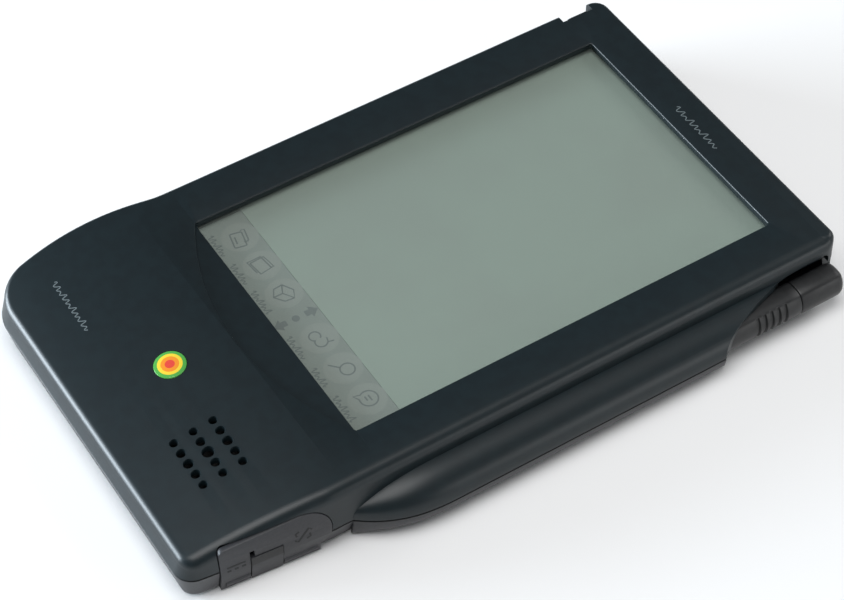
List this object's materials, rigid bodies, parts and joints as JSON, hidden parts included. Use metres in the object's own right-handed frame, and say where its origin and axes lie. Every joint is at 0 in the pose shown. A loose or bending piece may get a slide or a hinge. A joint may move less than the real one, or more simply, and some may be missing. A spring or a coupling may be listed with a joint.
{
  "type": "personal digital assistant",
  "caption": "Handheld pen computer with a reflective touch screen and icon strip, a stylus in a side silo, a hinged port cover, a card slot and a battery bay.",
  "frame": {"origin": "centre of the outline at the level of the rubber feet, lying on its back", "axes": "+X to the user's right, +Y towards the top end with the card slot, +Z out of the screen"},
  "size_m": [0.1141, 0.184, 0.0195],
  "materials": {
    "case_plastic": "painted satin, very dark green-black",
    "trim_plastic": "moulded, fine texture, dark grey",
    "black_plastic": "moulded black",
    "screen_glass": "matt writing surface",
    "lcd_glass": "green-grey reflective display",
    "printed_film": "light grey printed film",
    "steel_sheet": "plated sheet steel",
    "brass_wire": "plated contacts",
    "circuit_board": "solder-masked laminate",
    "chip_epoxy": "moulded epoxy",
    "polyimide": "flexible circuit",
    "foam": "thin foam and cloth",
    "infrared_lens": "dark red infrared-passing plastic",
    "cell_jacket": "printed sleeve on steel cans",
    "rubber": "moulded rubber",
    "label_film": "printed label without words",
    "enamel": "domed enamel roundel"
  },
  "bodies": {
    "case": {"front_shell": "case_plastic", "rear_shell": "trim_plastic", "window_gasket": "foam", "touch_glass": "screen_glass", "icon_film": "printed_film", "strip_backer": "black_plastic", "lcd_panel": "lcd_glass", "lcd_frame": "steel_sheet", "lcd_ribbon": "polyimide", "main_board": "circuit_board", "processor_chip": "chip_epoxy", "logic_chip": "chip_epoxy", "ram_chips": "chip_epoxy", "rf_shield": "steel_sheet", "rom_board": "circuit_board", "rom_chips": "chip_epoxy", "rom_header": "black_plastic", "card_cage": "steel_sheet", "card_header": "black_plastic", "speaker": "black_plastic", "speaker_cloth": "foam", "ir_window": "infrared_lens", "ir_transceiver": "chip_epoxy", "port_board": "circuit_board", "port_shroud": "black_plastic", "serial_port": "black_plastic", "dc_jack": "black_plastic", "port_cover_pin": "steel_sheet", "power_switch": "steel_sheet", "contrast_pot": "black_plastic", "battery_cells": "cell_jacket", "battery_contacts": "brass_wire", "backup_cell": "steel_sheet", "backup_holder": "black_plastic", "reset_switch": "steel_sheet", "stylus_sleeve": "black_plastic", "stylus_detent": "steel_sheet", "case_screws": "steel_sheet", "board_screws": "steel_sheet", "rubber_feet": "rubber", "rating_label": "label_film", "badge": "enamel"},
    "stylus": {"stylus_barrel": "trim_plastic", "stylus_cap": "trim_plastic", "stylus_tip": "black_plastic"},
    "cover": {"port_cover": "trim_plastic"},
    "door": {"battery_door": "trim_plastic"},
    "slider": {"power_slider": "trim_plastic"},
    "wheel": {"contrast_wheel": "trim_plastic"},
    "ejector": {"eject_button": "trim_plastic"},
    "lever": {"eject_lever": "steel_sheet"},
    "reset": {"reset_button": "label_film"}
  },
  "joints": [
    {"name": "stylus_slide", "type": "slide", "parent": "case", "child": "stylus", "axis": [0, 1, 0], "range_m": [0, 0.13]},
    {"name": "cover_hinge", "type": "hinge", "parent": "case", "child": "cover", "pos_m": [0.04614, -0.06828, 0.00245], "axis": [0.0945, 0.9955, 0], "range_deg": [0, 90]},
    {"name": "door_slide", "type": "slide", "parent": "case", "child": "door", "axis": [-1, 0, 0], "range_m": [0, 0.08]},
    {"name": "power_slide", "type": "slide", "parent": "case", "child": "slider", "axis": [0, -1, 0], "range_m": [0, 0.0025], "stiffness_N_per_m": 150, "springref_m": -0.0015},
    {"name": "contrast_turn", "type": "hinge", "parent": "case", "child": "wheel", "pos_m": [-0.05045, 0.04, 0.0114], "axis": [0, 0, 1], "range_deg": [-140, 140]},
    {"name": "eject_slide", "type": "slide", "parent": "case", "child": "ejector", "axis": [0, -1, 0], "range_m": [0, 0.005], "stiffness_N_per_m": 60, "springref_m": -0.002},
    {"name": "eject_turn", "type": "hinge", "parent": "case", "child": "lever", "pos_m": [-0.01105, 0.01, 0.0093], "axis": [0, 0, 1], "range_deg": [0, 9.6]},
    {"name": "reset_press", "type": "slide", "parent": "case", "child": "reset", "axis": [0, 0, 1], "range_m": [0, 0.0006], "stiffness_N_per_m": 300, "springref_m": -0.0005}
  ],
  "couplings": [
    {"joint": "eject_turn", "follows": "eject_slide", "rad_per_m": 32.895}
  ]
}
